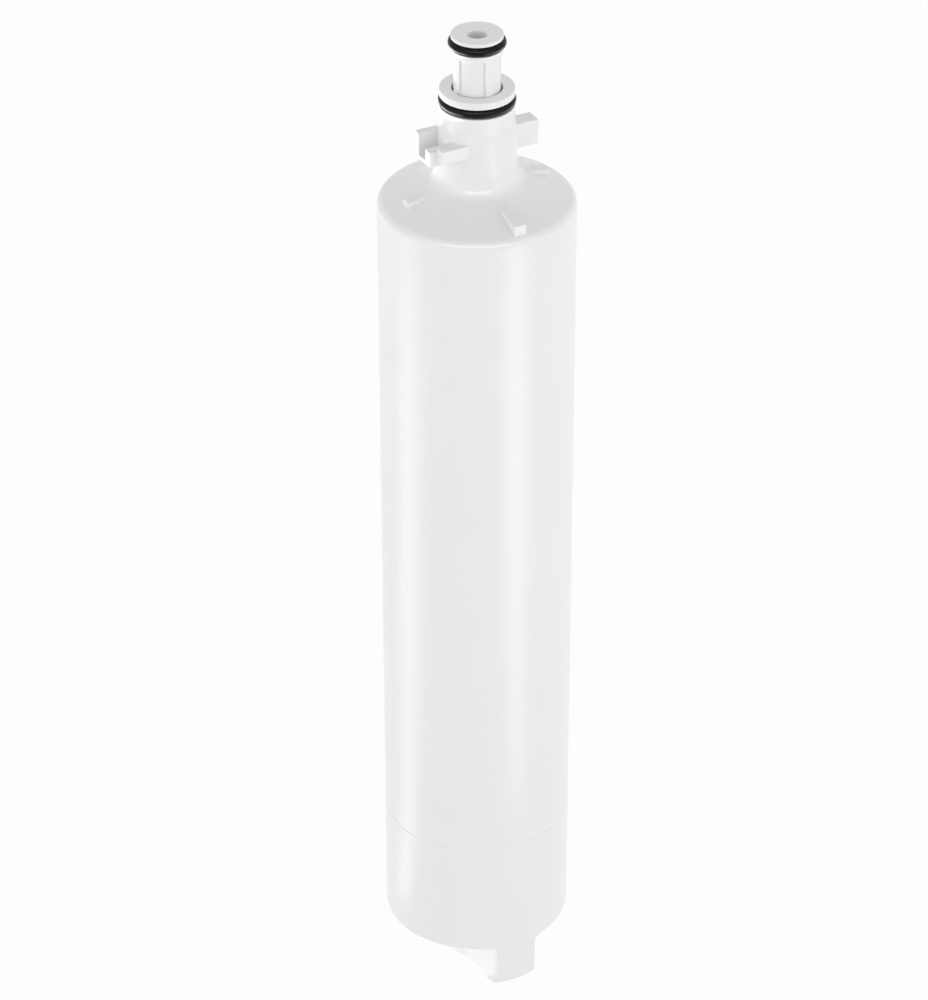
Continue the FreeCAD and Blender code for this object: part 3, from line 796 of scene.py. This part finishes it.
def seen_ray(tree, place):
    """One for a ray from the camera, a reflection or a transmission, nought for the others."""
    path = node(tree, "ShaderNodeLightPath", place)
    first = node(tree, "ShaderNodeMath", (place[0] + 200, place[1]), operation="MAXIMUM")
    second = node(tree, "ShaderNodeMath", (place[0] + 400, place[1]), operation="MAXIMUM")
    tree.links.new(path.outputs["Is Camera Ray"], first.inputs[0])
    tree.links.new(path.outputs["Is Glossy Ray"], first.inputs[1])
    tree.links.new(first.outputs[0], second.inputs[0])
    tree.links.new(path.outputs["Is Transmission Ray"], second.inputs[1])
    return second.outputs[0]


def make_world():
    """Soft room light, dimmer overhead than near the horizon, that shows as plain white."""
    world = bpy.data.worlds.new("studio")
    bpy.context.scene.world = world
    world.use_nodes = True
    tree = world.node_tree
    tree.nodes.clear()
    output = node(tree, "ShaderNodeOutputWorld", (900, 0))
    where = node(tree, "ShaderNodeTexCoord", (-900, 0))
    split = node(tree, "ShaderNodeSeparateXYZ", (-700, 0))
    level = node(tree, "ShaderNodeMapRange", (-500, 0))
    level.inputs["From Min"].default_value = 0.0
    level.inputs["From Max"].default_value = 1.0
    level.inputs["To Min"].default_value = HORIZON_LIGHT
    level.inputs["To Max"].default_value = OVERHEAD_LIGHT
    light = node(tree, "ShaderNodeBackground", (0, 100))
    white = node(tree, "ShaderNodeBackground", (0, -100))
    shown = node(tree, "ShaderNodeMixShader", (600, 0))
    links = tree.links
    links.new(where.outputs["Generated"], split.inputs["Vector"])
    links.new(split.outputs["Z"], level.inputs["Value"])
    links.new(level.outputs["Result"], light.inputs["Strength"])
    links.new(seen_ray(tree, (-600, 400)), shown.inputs["Fac"])
    links.new(light.outputs["Background"], shown.inputs[1])
    links.new(white.outputs["Background"], shown.inputs[2])
    links.new(shown.outputs["Shader"], output.inputs["Surface"])
    white.inputs["Color"].default_value = (1, 1, 1, 1)
    light.inputs["Color"].default_value = ROOM_COLOUR


def make_camera():
    """Pinhole camera at the photograph's place and angle."""
    data = bpy.data.cameras.new("camera")
    data.sensor_width = SENSOR
    data.lens = SENSOR * FOCAL_SHARE
    data.clip_end = CLIP_END
    camera = bpy.data.objects.new("camera", data)
    camera.location = [c * MM for c in CAMERA_PLACE]
    aim = Euler((math.radians(90 - VIEW_DOWN), 0, math.radians(-VIEW_TURN))).to_matrix()
    camera.rotation_euler = (aim @ Matrix.Rotation(math.radians(VIEW_ROLL), 3, "Z")).to_euler()
    bpy.context.scene.collection.objects.link(camera)
    bpy.context.scene.camera = camera


def lamp_at(name, turn, distance, height, size, glow):
    """Rectangular soft light, turned from the camera's side of the object to its right by turn
    degrees, at a height above the floor. Glow is its brightness as seen, so its power is pi times
    glow times its area."""
    data = bpy.data.lights.new(name, "AREA")
    data.shape = "RECTANGLE"
    data.size, data.size_y = size
    data.energy = math.pi * glow * size[0] * size[1]
    lamp = bpy.data.objects.new(name, data)
    way = math.radians(turn - VIEW_TURN)
    lamp.location = (distance * math.sin(way), -distance * math.cos(way), GRIP_LOW_Z * MM + height)
    lamp.visible_camera = False
    bpy.context.scene.collection.objects.link(lamp)
    return lamp, way


def panel(name, turn, glow):
    """Upright soft panel that stands on the floor and faces the object."""
    lamp, way = lamp_at(name, turn, PANEL_DISTANCE, PANEL_SIZE[1] / 2, PANEL_SIZE, glow)
    lamp.rotation_euler = (math.radians(90), 0, way)


def gloss_card(name, turn, near, far, width, glow, height):
    """Level bright card, from near to far of the axis, that faces up and shows only in reflections:
    seen from above, an upright wall mirrors what lies low beside it."""
    lamp, way = lamp_at(name, turn, (near + far) / 2, height, (width, far - near), glow)
    lamp.rotation_euler = (math.radians(180), 0, way)
    lamp.visible_diffuse = False


def gloss_bank(name, turn, distance, rise, size, glow):
    """Wide bright bank that looks down on the frame's origin from rise degrees above it, and shows
    only in reflections, mostly in rounded edges."""
    height = -GRIP_LOW_Z * MM + distance * math.sin(math.radians(rise))
    lamp, way = lamp_at(name, turn, distance * math.cos(math.radians(rise)), height, size, glow)
    lamp.rotation_euler = (math.radians(90 - rise), 0, way)
    lamp.visible_diffuse = False


def make_lights():
    """Two panels light the object, and cards and a bank give it the photograph's highlights."""
    panel("left panel", **LEFT_PANEL)
    panel("right panel", **RIGHT_PANEL)
    for card in CARDS:
        gloss_card(*card)
    gloss_bank("front bank", **BANK)


materials = make_materials()
dress_frame(materials)
dress(make_housing(), "housing", "white_shell", materials)
dress(make_cap(), "bottom_cap", "white_shell", materials)
dress(make_stem(), "outlet_stem", "white_stem", materials)
neck_ring_z = LAND_LOW_Z - GROOVE_W / 2
dress(make_ring("neck_ring", NECK_RING_R, neck_ring_z), "neck_o_ring", "black_seal", materials)
spigot_ring_z = SPIGOT_TOP_Z - SPIGOT_RIM_H - GROOVE_W / 2
dress(make_ring("spigot_ring", SPIGOT_RING_R, spigot_ring_z), "spigot_o_ring", "black_seal", materials)
make_floor()
make_world()
make_camera()
make_lights()
bpy.context.scene.view_settings.view_transform = "Standard"
